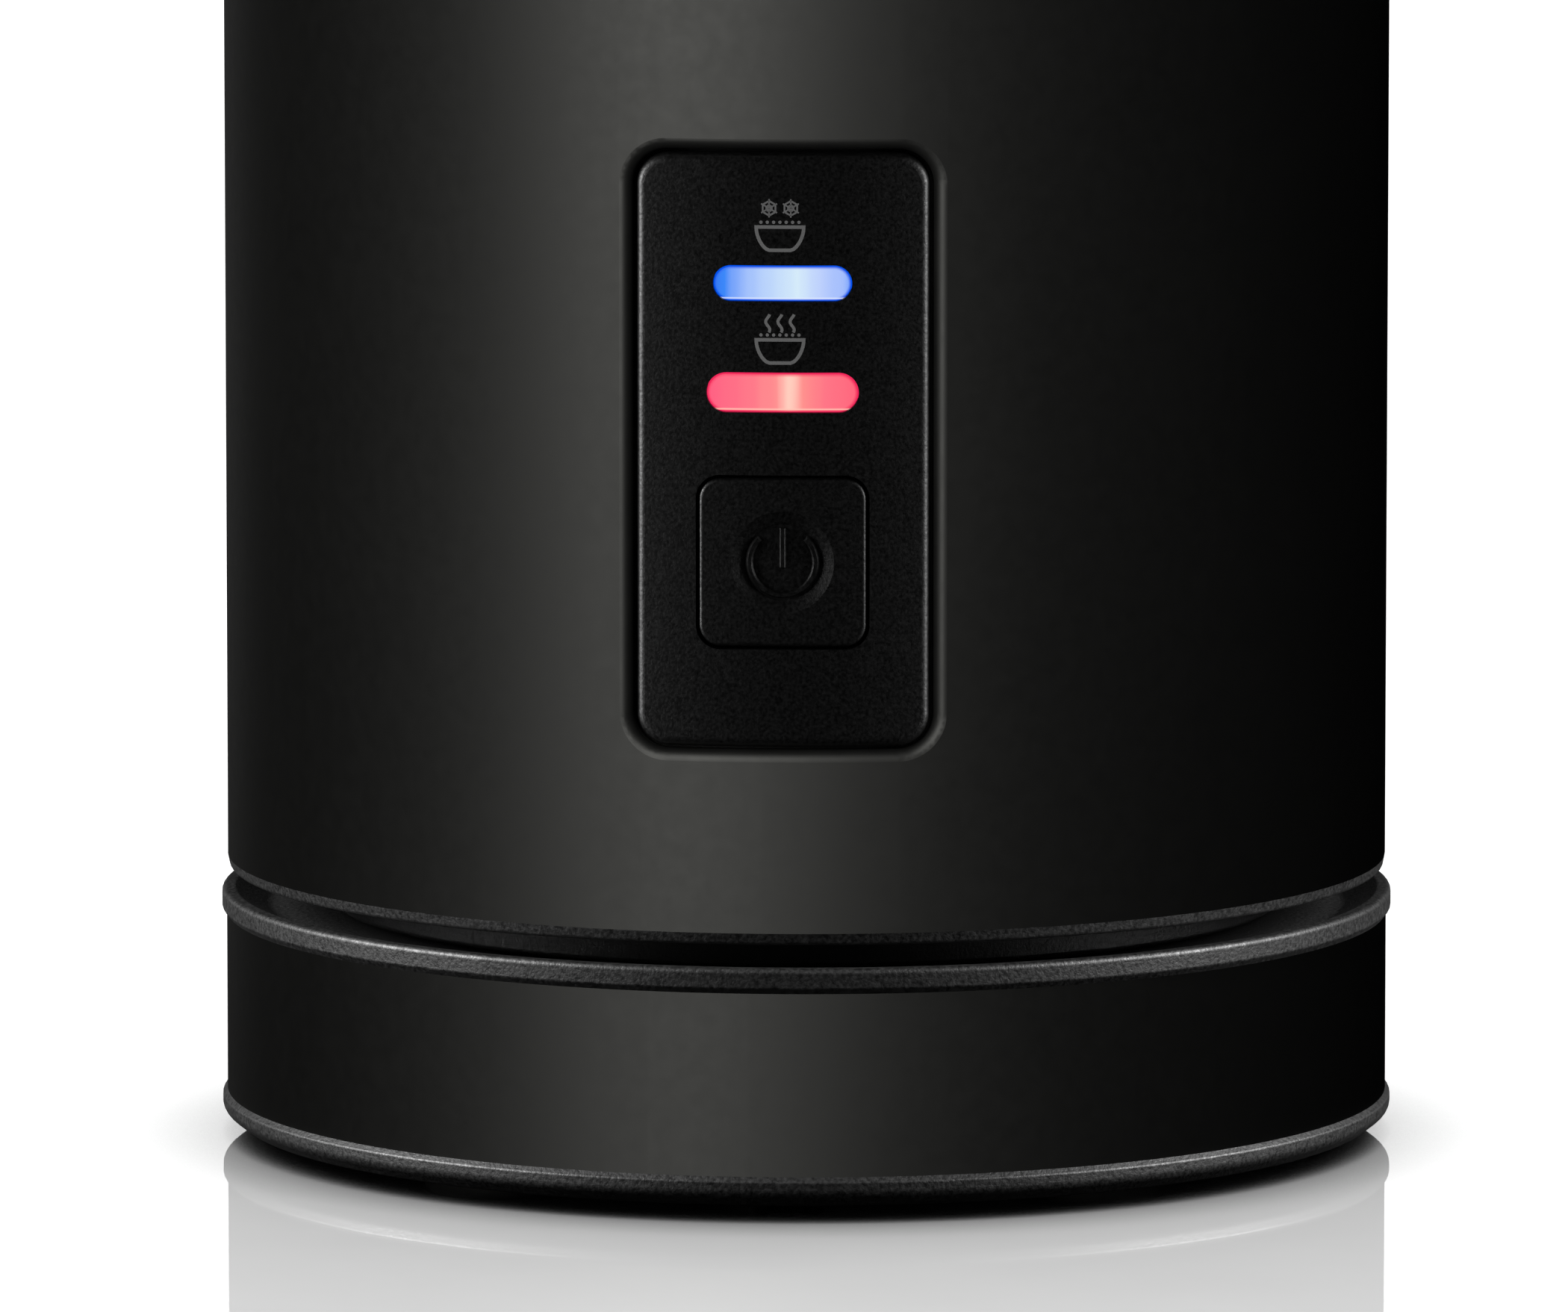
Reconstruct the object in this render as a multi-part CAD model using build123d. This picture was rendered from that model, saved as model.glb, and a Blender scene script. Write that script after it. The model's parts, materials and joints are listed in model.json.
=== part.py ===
from build123d import *
import os

os.makedirs("parts", exist_ok=True)

# Milk frother: a double-walled jug with a magnetic whisk, a lift-off lid and a one-button
# panel, standing on a cordless power base that it can turn on and lift away from.
# Millimetres. +Z is up, the control panel faces -Y, and the origin is on the surface that
# the rubber feet stand on, under the centre of the base.

# Radii
BODY_R = 50.0            # painted shell
RING_R = 50.5            # bead rings of the base
BAND_R = 50.1            # painted band of the base
SHEET = 0.6              # shell and cup sheet
SHELL_IN_R = BODY_R - SHEET
BAND_IN_R = BAND_R - 1.0
SPIGOT_R = BAND_IN_R - 0.1
CUP_R = 42.0             # inside of the cup
CUP_OUT_R = CUP_R + SHEET

# Heights
FOOT_GAP = 1.3           # feet stand this far out of the base
BASE_FLOOR_TOP = 3.3
BASE_RING_TOP = 3.9
UPSTAND_TOP = 8.0        # rim of the base's floor, inside the band
BAND_TOP = 19.35
DISH_Z = 20.0            # dish that the jug stands in
DISH_UNDER = 18.0
BEAD_TOP = 21.5
LIP_Z = 23.4             # underside of the jug
SHELL_LOW = 24.4
COVER_TOP = 25.4
FOOT_RING_LOW = 20.1     # ring under the jug that it stands on when lifted off
SPIGOT_TOP = 31.0        # bottom cover's spigot inside the shell
BOARD_LOW, BOARD_TOP = 36.0, 37.6
COLLAR_LOW = 148.0
COLLAR_STEP = 153.5
SHELL_TOP = 156.0
LEDGE_Z = 156.9
CUP_RIM_Z = 158.0
COLLAR_TOP = 160.0
CUP_UNDER = 73.4
CUP_FLOOR = CUP_UNDER + SHEET
LID_LOW = 160.2
WINDOW_Z = 166.0
KNOB_TOP = 180.5

# Cordless connector
PEDESTAL_R = 16.2
PEDESTAL_TOP = 30.5
PEDESTAL_LOW = 15.8
SLOT_FLOOR = 19.4
SLOT_IN_R, SLOT_OUT_R = 9.3, 11.6
BLADE_IN_R, BLADE_OUT_R = 10.0, 10.75
PIN_R = 1.8
TAIL_R = 0.75
TAIL_LOW = 12.0
TAB_WIDE = 4.0
SOCKET_R = 16.8
SOCKET_WALL_R = 18.6
SOCKET_CEILING = 31.5
SOCKET_TOP = 33.5
TAIL_TOP = 35.2
PIN_ROOT = 32.7          # the pin and the blade are sunk this far into the housing
COVER_IN_R, HOUSING_FLANGE_R = 18.7, 21.5
CONTACT_IN_R = 10.9

# Fasteners: head radius, head height, shank radius, length
CASE_SCREW = (2.6, 1.4, 1.2, 10.0)
SMALL_SCREW = (1.9, 1.1, 0.9, 3.4)
PILOT_R = 1.2
CLEAR_R = 1.5
POST_R = 3.2
POST_PLACE = 34.0        # distance of the case posts from the axis
BASE_POST_PLACE = 36.0
BASE_BOSS_TOP = 5.3
FOOT_R = 6.0
FOOT_SINK = 0.8
FOOT_PLACE = 36.0

# Cord inlet
CORD_Z = 11.2
CORD_BORE_R = 3.2
GLAND_R = 3.95
GLAND_TIP = 50.3
CLAMP_Y = 36.0
CLAMP_SPAN = 15.0

# Drive
SHAFT_R = 1.0
MOTOR_R = 12.2
MOTOR_WALL = 1.0
MOTOR_LOW, MOTOR_TOP = 44.2, 60.2
BEARING_R = 2.6
BEARING_GAP = 0.03
COLLAR_R = 3.1           # motor's top collar
DISC_HUB_R = 4.0
DISC_HUB_LOW = 63.2
SHAFT_LOW, SHAFT_TOP = 43.6, 71.2
DISC_R = 14.0
DISC_LOW, DISC_TOP = 68.2, 72.2
MAGNET_R, MAGNET_H, MAGNET_PLACE, MAGNETS = 3.0, 3.0, 9.0, 4
BRACKET_THICK = 2.0
BRACKET_TOP = MOTOR_TOP + BRACKET_THICK

# Heater
HEATER_R, HEATER_IN_R = 38.0, 18.5
HEATER_LOW = 69.4
HEATER_BOSS_PLACE = 33.5
ELEMENT_R, ELEMENT_TUBE_R = 26.0, 3.0
ELEMENT_Z = HEATER_LOW - ELEMENT_TUBE_R
ELEMENT_START, ELEMENT_SWEEP = 20.0, 320.0

# Whisk
POST_PIN_R = 2.0
POST_PIN_TOP = 84.0
BUSH_R = 3.0
BUSH_FLANGE_R = 4.2
BUSH_LOW, BUSH_TOP = 74.2, 90.0
RUNNING_GAP = 0.05
HUB_R = 5.0
HUB_LOW, HUB_TOP = 75.3, 88.9
CARRIER_R, CARRIER_TOP = 13.5, 79.8
COIL_RING_R, COIL_R, COIL_WALL = 17.5, 3.7, 0.45
COIL_Z = 85.5
CORE_R = 1.1
SPOKES = 4

# Control panel, centred on the front of the shell
PANEL_Z = 64.8
WINDOW_W, WINDOW_H, WINDOW_CORNER = 24.95, 50.2, 3.0
SLAB_W, SLAB_H, SLAB_CORNER = 24.3, 49.6, 2.7
SLAB_R = 49.8            # radius of the slab's curved front
SLAB_BACK = -46.9
CAP_BACK = -46.2         # back of the button, and of the flange that keeps it in
PIPE_BACK = -46.3
SLAB_EDGE = 0.85
ROLLED_IN_R = 48.6
ROLLED_EDGE = 0.9
FLANGE_W, FLANGE_H, FLANGE_CORNER = 28.4, 54.2, 4.0
FLANGE_R, FLANGE_IN_R = 48.0, 46.6
POCKET_W, POCKET_H = 21.0, 46.0
BOARD_FRONT, BOARD_BACK = -44.6, -43.6
BUTTON_Z = 55.5
BUTTON_W, BUTTON_H, BUTTON_CORNER = 13.9, 14.05, 1.75
BUTTON_GAP = 0.27
BUTTON_TRAVEL = 0.6
BOSS_BACK = -46.8
DISH_R, DISH_FLOOR_R, DISH_DEPTH = 4.28, 3.2, 0.48     # finger dish in the button
MARK_R, MARK_LINE, MARK_OPEN = 2.75, 0.64, 42.0
MARK_RISE, MARK_SUNK, MARK_SLOPE = 0.2, 0.12, 30.0
MARK_BAR_LOW, MARK_BAR_HIGH = -0.6, 3.0
BLUE_Z, BLUE_W, BLUE_H = 78.8, 11.45, 2.9
RED_Z, RED_W, RED_H = 69.7, 12.55, 3.25
LIGHT_R = 49.78
LIGHT_GAP = 0.05

FAR = 60.0               # past the outside of everything


def disc(radius, low, high):
    """Upright cylinder on the Z axis."""
    return Pos(0, 0, low) * Cylinder(radius, high - low, align=(Align.CENTER, Align.CENTER, Align.MIN))


def tube(outer, inner, low, high):
    return disc(outer, low, high) - disc(inner, low, high)


def turned(*corners):
    """Solid turned about the Z axis. A corner is (radius, height) or (radius, height, fillet)."""
    points = [corner[:2] for corner in corners]
    fillets = [corner[2] if len(corner) == 3 else 0 for corner in corners]
    outline = Plane.XZ * FilletPolyline(*points, radius=fillets, close=True)
    return revolve(make_face(outline), Axis.Z)


def around(count, radius, start=0.0):
    """Places evenly spaced on a circle, each turned to face outwards."""
    return [Rot(0, 0, start + 360 / count * i) * Pos(radius, 0, 0) for i in range(count)]


def group(solid, places):
    """Separate copies of one solid."""
    return Compound([place * solid for place in places])


def added(body, solid, places):
    for place in places:
        body = body + place * solid
    return body


def cut_at(body, solid, places):
    for place in places:
        body = body - place * solid
    return body


def front_prism(outline, height, back, front=-FAR):
    """Outline drawn on the XZ plane at a height, run from back towards -Y."""
    plane = Plane(origin=(0, back, height), x_dir=(1, 0, 0), z_dir=(0, -1, 0))
    return extrude(plane * outline, back - front)


def front_pin(radius, x, height, back, front):
    """Round pin along Y."""
    return front_prism(Pos(x, 0) * Circle(radius), height, back, front)


def screw(head_r, head_height, shank_r, length):
    """Pan-head screw that points up, with the seat of its head at the origin."""
    body = disc(head_r, -head_height, 0) + disc(shank_r, 0, length)
    slot = Pos(0, 0, -head_height) * Box(1.3 * head_r, 0.28 * head_r, head_height)
    return body - slot - Rot(0, 0, 90) * slot


CASE_PLACES = around(3, POST_PLACE, 30)
BASE_PLACES = around(3, BASE_POST_PLACE, 30)
HEATER_PLACES = around(3, HEATER_BOSS_PLACE, 90)
CONNECTOR_PLACES = around(3, 19.8, 90)
BOARD_PLACES = around(4, 25.5, 45)
FOOT_PLACES = around(4, FOOT_PLACE, 45)
CLAMP_PLACES = [Pos(-CLAMP_SPAN / 2, CLAMP_Y, 0), Pos(CLAMP_SPAN / 2, CLAMP_Y, 0)]
MOTOR_PLACES = around(2, 8.0)
MAGNET_PLACES = around(MAGNETS, MAGNET_PLACE, 45)
CLAMP_SEAT = 9.5
GLAND_ROOM = Pos(0, BODY_R, CORD_Z) * Rot(90, 0, 0) * Cylinder(6.2, 12)


# ---------------------------------------------------------------- power base

def base_bottom():
    upstand_in = SPIGOT_R - 1.4
    body = turned(
        (0, FOOT_GAP), (49.1, FOOT_GAP, 0.8), (RING_R, 2.4, 0.9), (RING_R, 3.5, 0.25),
        (BAND_R, BASE_RING_TOP), (SPIGOT_R, BASE_RING_TOP), (SPIGOT_R, UPSTAND_TOP, 0.3),
        (upstand_in, UPSTAND_TOP, 0.3), (upstand_in, BASE_FLOOR_TOP), (0, BASE_FLOOR_TOP))
    body = added(body, disc(5.0, BASE_FLOOR_TOP, BASE_BOSS_TOP), BASE_PLACES)
    body = cut_at(body, disc(3.0, FOOT_GAP, BASE_FLOOR_TOP), BASE_PLACES)
    body = cut_at(body, disc(CLEAR_R, FOOT_GAP, BASE_BOSS_TOP), BASE_PLACES)
    body = cut_at(body, disc(FOOT_R, FOOT_GAP, FOOT_GAP + FOOT_SINK), FOOT_PLACES)
    body = added(body, disc(2.6, BASE_FLOOR_TOP, CLAMP_SEAT), CLAMP_PLACES)
    body = cut_at(body, disc(SMALL_SCREW[2], CLAMP_SEAT - 4.0, CLAMP_SEAT), CLAMP_PLACES)
    return body - GLAND_ROOM


def base_band():
    hole = Pos(0, BODY_R, CORD_Z) * Rot(90, 0, 0) * Cylinder(GLAND_R, 6)
    return tube(BAND_R, BAND_IN_R, BASE_RING_TOP, BAND_TOP) - hole


def base_top():
    hole_r = PEDESTAL_R + 0.1
    spigot_in = SPIGOT_R - 1.5
    body = turned(
        (hole_r, DISH_UNDER), (spigot_in, DISH_UNDER), (spigot_in, 15.0), (SPIGOT_R, 15.0),
        (SPIGOT_R, BAND_TOP), (BAND_R, BAND_TOP), (RING_R, BAND_TOP + 0.5, 0.3),
        (RING_R, BEAD_TOP, 0.45),
        (49.4, BEAD_TOP, 0.5), (46.4, DISH_Z, 1.0), (hole_r, DISH_Z))
    body = added(body, disc(POST_R, BASE_BOSS_TOP, DISH_UNDER), BASE_PLACES)
    body = cut_at(body, disc(PILOT_R, BASE_BOSS_TOP, DISH_UNDER), BASE_PLACES)
    body = cut_at(body, disc(SMALL_SCREW[2], DISH_UNDER, DISH_UNDER + 1.4), CONNECTOR_PLACES)
    return body - GLAND_ROOM


def base_connector():
    body = turned(
        (0, PEDESTAL_LOW), (23.0, PEDESTAL_LOW), (23.0, DISH_UNDER), (PEDESTAL_R, DISH_UNDER),
        (PEDESTAL_R, PEDESTAL_TOP, 1.4), (SLOT_OUT_R, PEDESTAL_TOP, 0.4), (SLOT_OUT_R, SLOT_FLOOR),
        (SLOT_IN_R, SLOT_FLOOR), (SLOT_IN_R, PEDESTAL_TOP, 0.4), (3.0, PEDESTAL_TOP, 0.6),
        (3.0, SLOT_FLOOR), (0, SLOT_FLOOR))
    body = body - disc(TAIL_R, PEDESTAL_LOW, SLOT_FLOOR) - ring_tab(
        CONTACT_IN_R, SLOT_OUT_R, PEDESTAL_LOW, SLOT_FLOOR)
    return cut_at(body, disc(1.1, PEDESTAL_LOW, DISH_UNDER), CONNECTOR_PLACES)


def ring_tab(inner, outer, low, high):
    """Flat terminal cut from a ring, on the +X side."""
    strip = Pos(outer / 2, 0, (low + high) / 2) * Box(outer, TAB_WIDE, high - low)
    return strip & tube(outer, inner, low, high)


def centre_contact():
    sleeve = turned(
        (0, SLOT_FLOOR), (2.95, SLOT_FLOOR), (2.95, 28.0), (PIN_R + 0.1, 28.0, 0.3),
        (PIN_R + 0.1, 20.4), (0, 20.4))
    return sleeve + disc(TAIL_R, TAIL_LOW, SLOT_FLOOR)


def ring_contact():
    ring = tube(SLOT_OUT_R, CONTACT_IN_R, SLOT_FLOOR, 26.0)
    return ring + ring_tab(CONTACT_IN_R, SLOT_OUT_R, TAIL_LOW, SLOT_FLOOR)


def slot_shutter():
    return turned((SLOT_IN_R + 0.2, 19.9), (BLADE_OUT_R, 19.9), (BLADE_OUT_R, 23.4, 0.3),
                  (SLOT_IN_R + 0.2, 23.4, 0.3))


def rubber_feet():
    foot = turned((0, 0), (FOOT_R, 0, 0.5), (FOOT_R, FOOT_GAP + FOOT_SINK), (0, FOOT_GAP + FOOT_SINK))
    return group(foot, FOOT_PLACES)


def base_screws():
    return group(Pos(0, 0, BASE_FLOOR_TOP) * screw(*CASE_SCREW), BASE_PLACES)


def inner_screws():
    under_connector = [place * Pos(0, 0, PEDESTAL_LOW) for place in CONNECTOR_PLACES]
    over_clamp = [place * Pos(0, 0, CLAMP_SEAT + 2.0) * Rot(180, 0, 0) for place in CLAMP_PLACES]
    return group(screw(*SMALL_SCREW), under_connector + over_clamp)


def cord_gland():
    """Bush through the back of the band, with a flange inside it."""
    profile = turned((CORD_BORE_R, 45.0, 0.3), (5.4, 45.0, 0.4), (5.4, 48.6), (GLAND_R, 48.6),
                     (GLAND_R, GLAND_TIP, 0.3), (CORD_BORE_R, GLAND_TIP, 0.3))
    return Pos(0, 0, CORD_Z) * Rot(-90, 0, 0) * profile


def cord_clamp():
    """Bar over two bosses, arched for the cord."""
    bar = Pos(0, CLAMP_Y, CLAMP_SEAT + 1.0) * Box(CLAMP_SPAN + 6.0, 6.0, 2.0)
    arch = Pos(0, CLAMP_Y, CORD_Z) * Rot(90, 0, 0) * Cylinder(5.0, 6.0)
    above = Pos(0, CLAMP_Y, CLAMP_SEAT + 5.0) * Box(12.0, 6.0, 10.0)
    room = Pos(0, CLAMP_Y, CORD_Z) * Rot(90, 0, 0) * Cylinder(CORD_BORE_R + 0.1, 8.0)
    body = bar + (arch & above) - room - Pos(0, CLAMP_Y, 8.0) * Box(2 * CORD_BORE_R, 8.0, 6.0)
    return cut_at(body, disc(SMALL_SCREW[2], CLAMP_SEAT, CLAMP_SEAT + 2.0), CLAMP_PLACES)


# ---------------------------------------------------------------- jug casing

def outer_shell():
    """Sheet tube whose panel window has its edge rolled inwards."""
    walls = tube(BODY_R, SHELL_IN_R, SHELL_LOW, SHELL_TOP)
    surround = front_prism(
        RectangleRounded(WINDOW_W + 2 * SHEET, WINDOW_H + 2 * SHEET, WINDOW_CORNER + SHEET), PANEL_Z, 0)
    rolled = surround & tube(BODY_R - SHEET / 2, ROLLED_IN_R, SHELL_LOW, SHELL_TOP)
    opening = front_prism(RectangleRounded(WINDOW_W, WINDOW_H, WINDOW_CORNER), PANEL_Z, 0)
    body = walls + rolled - opening
    skin = body.faces().filter_by(GeomType.CYLINDER).sort_by(SortBy.AREA)[-2:].sort_by(
        lambda face: face.bounding_box().size.X)[-1]
    inside_window = Pos(0, -BODY_R, PANEL_Z) * Box(WINDOW_W + 1, 8, WINDOW_H + 1)
    edges = [edge for edge in skin.edges() if inside_window.is_inside(edge.position_at(0.5))]
    return fillet(edges, ROLLED_EDGE)


def jug_bottom_cover():
    body = turned(
        (COVER_IN_R, LIP_Z), (38.0, LIP_Z), (38.0, FOOT_RING_LOW, 0.5), (41.0, FOOT_RING_LOW, 0.5),
        (41.0, LIP_Z), (49.8, LIP_Z, 0.35), (BODY_R, SHELL_LOW), (SHELL_IN_R - 0.1, SHELL_LOW),
        (SHELL_IN_R - 0.1, SPIGOT_TOP, 0.3), (48.2, SPIGOT_TOP, 0.3), (48.2, COVER_TOP),
        (COVER_IN_R, COVER_TOP))
    body = cut_at(body, disc(CLEAR_R, LIP_Z, COVER_TOP), CASE_PLACES)
    body = added(body, disc(2.6, COVER_TOP, BOARD_LOW), BOARD_PLACES)
    return cut_at(body, disc(SMALL_SCREW[2], BOARD_LOW - 4.0, BOARD_LOW), BOARD_PLACES)


def cover_screws():
    return group(Pos(0, 0, LIP_Z) * screw(*CASE_SCREW), CASE_PLACES)


def rim_collar():
    return turned(
        (43.0, COLLAR_STEP, 0.5), (43.0, LEDGE_Z), (46.2, LEDGE_Z), (46.2, COLLAR_TOP, 0.6),
        (BODY_R, COLLAR_TOP, 0.9), (BODY_R, SHELL_TOP), (SHELL_IN_R - 0.1, SHELL_TOP),
        (SHELL_IN_R - 0.1, COLLAR_LOW, 0.3), (47.8, COLLAR_LOW, 0.3), (47.8, COLLAR_STEP))


def cup_seal():
    flange_under = CUP_RIM_Z - SHEET
    return turned((43.4, LEDGE_Z), (45.6, LEDGE_Z), (45.6, flange_under, 0.1), (43.4, flange_under, 0.1))


def inner_cup():
    """Deep-drawn cup with a rim flange and the pin that the whisk turns on."""
    flange_under = CUP_RIM_Z - SHEET
    return turned(
        (0, CUP_UNDER), (CUP_OUT_R, CUP_UNDER, 6.6), (CUP_OUT_R, flange_under, 0.3),
        (46.0, flange_under),
        (46.0, CUP_RIM_Z, 0.25), (CUP_R, CUP_RIM_Z, 0.9), (CUP_R, CUP_FLOOR, 6.0),
        (POST_PIN_R, CUP_FLOOR, 0.4), (POST_PIN_R, POST_PIN_TOP, 0.9), (0, POST_PIN_TOP))


# ---------------------------------------------------------------- jug connector

def jug_connector():
    body = turned(
        (SOCKET_R, LIP_Z, 0.5), (SOCKET_WALL_R, LIP_Z), (SOCKET_WALL_R, COVER_TOP),
        (HOUSING_FLANGE_R, COVER_TOP), (HOUSING_FLANGE_R, 26.6, 0.3), (SOCKET_WALL_R, 26.6),
        (SOCKET_WALL_R, SOCKET_TOP, 0.5), (0, SOCKET_TOP),
        (0, SOCKET_CEILING), (SOCKET_R, SOCKET_CEILING, 0.5))
    tail = disc(TAIL_R, PIN_ROOT, SOCKET_TOP) + ring_tab(BLADE_IN_R, BLADE_OUT_R, PIN_ROOT, SOCKET_TOP)
    sunk = disc(PIN_R, SOCKET_CEILING, PIN_ROOT) + tube(BLADE_OUT_R, BLADE_IN_R, SOCKET_CEILING, PIN_ROOT)
    return body - tail - sunk


def centre_pin():
    pin = turned((0, 21.5), (PIN_R, 21.5, 1.2), (PIN_R, PIN_ROOT), (0, PIN_ROOT))
    return pin + disc(TAIL_R, PIN_ROOT, TAIL_TOP)


def ring_blade():
    ring = turned(
        (BLADE_IN_R, 23.7, 0.3), (BLADE_OUT_R, 23.7, 0.3), (BLADE_OUT_R, PIN_ROOT), (BLADE_IN_R, PIN_ROOT))
    return ring + ring_tab(BLADE_IN_R, BLADE_OUT_R, PIN_ROOT, TAIL_TOP)


# ---------------------------------------------------------------- heater

def heater_plate():
    body = tube(HEATER_R, HEATER_IN_R, HEATER_LOW, CUP_UNDER)
    body = added(body, disc(2.8, BRACKET_TOP, HEATER_LOW), HEATER_PLACES)
    return cut_at(body, disc(PILOT_R, BRACKET_TOP, HEATER_LOW), HEATER_PLACES)


def heater_element():
    """Tube bent round the plate, with a terminal pin at each end."""
    section = Plane.XZ * Pos(ELEMENT_R, ELEMENT_Z) * Circle(ELEMENT_TUBE_R)
    ring = Rot(0, 0, ELEMENT_START) * revolve(section, Axis.Z, revolution_arc=ELEMENT_SWEEP)
    pin = disc(1.1, 54.0, ELEMENT_Z)
    return added(ring, pin, element_ends())


def element_ends():
    return [Rot(0, 0, angle) * Pos(ELEMENT_R, 0, 0)
            for angle in (ELEMENT_START + 3, ELEMENT_START + ELEMENT_SWEEP - 3)]


def thermostat():
    return Rot(0, 0, 30) * Pos(33.6, 0, 0) * (disc(4.0, 63.2, HEATER_LOW) - disc(1.4, 63.2, 64.4))


def thermal_fuse():
    return Rot(0, 0, 150) * Pos(33.0, 0, HEATER_LOW - 1.6) * Rot(90, 0, 0) * Cylinder(1.6, 10.0)


# ---------------------------------------------------------------- motor and drive

def motor_can():
    body = turned(
        (MOTOR_R - MOTOR_WALL, MOTOR_LOW), (MOTOR_R, MOTOR_LOW), (MOTOR_R, MOTOR_TOP, 0.6),
        (COLLAR_R, MOTOR_TOP), (COLLAR_R, MOTOR_TOP + 1.8), (BEARING_R, MOTOR_TOP + 1.8),
        (BEARING_R, MOTOR_TOP - 1.2),
        (MOTOR_R - MOTOR_WALL, MOTOR_TOP - 1.2))
    return cut_at(body, disc(SMALL_SCREW[2], MOTOR_TOP - 1.2, MOTOR_TOP), MOTOR_PLACES)


def motor_end_cap():
    return tube(MOTOR_R - MOTOR_WALL, BEARING_R, MOTOR_LOW, MOTOR_LOW + 1.4)


def field_magnets():
    return tube(MOTOR_R - MOTOR_WALL, 8.6, 47.5, 57.5)


def motor_bearings():
    bearing = tube(BEARING_R, SHAFT_R + BEARING_GAP, 0, 2.8)
    return group(bearing, [Pos(0, 0, MOTOR_LOW), Pos(0, 0, MOTOR_TOP - 1.0)])


def motor_bracket():
    """Plate under the heater that carries the motor, on three posts from the cover."""
    body = tube(37.5, 3.15, MOTOR_TOP, BRACKET_TOP)
    body = added(body, disc(POST_R, COVER_TOP, MOTOR_TOP), CASE_PLACES)
    body = cut_at(body, disc(PILOT_R, COVER_TOP, COVER_TOP + 12.0), CASE_PLACES)
    body = cut_at(body, disc(CLEAR_R, MOTOR_TOP, BRACKET_TOP), HEATER_PLACES)
    body = cut_at(body, disc(1.1, MOTOR_TOP, BRACKET_TOP), MOTOR_PLACES)
    return cut_at(body, disc(2.4, MOTOR_TOP, BRACKET_TOP), element_ends())


def motor_screws():
    return group(Pos(0, 0, BRACKET_TOP) * Rot(180, 0, 0) * screw(*SMALL_SCREW[:3], 3.1), MOTOR_PLACES)


def bracket_screws():
    return group(Pos(0, 0, MOTOR_TOP) * screw(*CASE_SCREW[:3], 7.0), HEATER_PLACES)


def motor_shaft():
    return turned((0, SHAFT_LOW), (SHAFT_R, SHAFT_LOW, 0.2), (SHAFT_R, SHAFT_TOP), (0, SHAFT_TOP))


def armature():
    """Laminated stack with its winding slots."""
    body = tube(8.0, SHAFT_R, 48.5, 56.5)
    slot = Pos(6.2, 0, 52.5) * Box(3.4, 2.4, 8.0)
    return cut_at(body, slot, around(5, 0))


def drive_disc():
    body = turned(
        (SHAFT_R, DISC_HUB_LOW), (DISC_HUB_R, DISC_HUB_LOW, 0.3), (DISC_HUB_R, DISC_LOW),
        (DISC_R, DISC_LOW, 0.4), (DISC_R, DISC_TOP, 0.4), (0, DISC_TOP), (0, SHAFT_TOP),
        (SHAFT_R, SHAFT_TOP))
    return cut_at(body, disc(MAGNET_R, DISC_TOP - MAGNET_H, DISC_TOP), MAGNET_PLACES)


def drive_magnets():
    return group(disc(MAGNET_R, DISC_TOP - MAGNET_H, DISC_TOP), MAGNET_PLACES)


# ---------------------------------------------------------------- electronics

def power_board():
    board = disc(29.0, BOARD_LOW, BOARD_TOP)
    return cut_at(board, disc(1.1, BOARD_LOW, BOARD_TOP), BOARD_PLACES)


def board_screws():
    return group(Pos(0, 0, BOARD_TOP) * Rot(180, 0, 0) * screw(*SMALL_SCREW), BOARD_PLACES)


def relay():
    height = 14.0
    return Pos(21.0, 0, BOARD_TOP + height / 2) * Box(10.0, 16.0, height)


def capacitors():
    can = turned((0, BOARD_TOP), (4.0, BOARD_TOP), (4.0, 50.0, 0.4), (0, 50.0))
    return group(can, [Pos(-20.0, -5.0, 0), Pos(-20.0, 5.0, 0)])


def control_board():
    board = front_prism(Rectangle(22.0, 48.0), PANEL_Z, BOARD_BACK, BOARD_FRONT)
    for x, z in stake_places():
        board = board - front_pin(1.0, x, z, BOARD_BACK, BOARD_FRONT)
    return board


def stake_places():
    return [(x, PANEL_Z + z) for x in (-9.0, 9.0) for z in (-21.0, 21.0)]


def led(height):
    return front_prism(RectangleRounded(3.0, 1.4, 0.2), height, BOARD_FRONT, BOARD_FRONT - 0.7)


def tact_switch():
    case = front_prism(Rectangle(6.0, 6.0), BUTTON_Z, BOARD_FRONT, BOARD_FRONT - 1.5)
    return case - front_pin(1.7, 0, BUTTON_Z, BOARD_FRONT - BUTTON_TRAVEL, BOARD_FRONT - 2.0)


# ---------------------------------------------------------------- control panel

def rounded_front(solid, radius, edge):
    """Gives a panel piece its curved front, and rounds that front's edge."""
    body = solid & disc(radius, 0, 2 * PANEL_Z)
    front = body.faces().sort_by(Axis.Y)[0]
    return fillet(front.edges(), edge)


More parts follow.
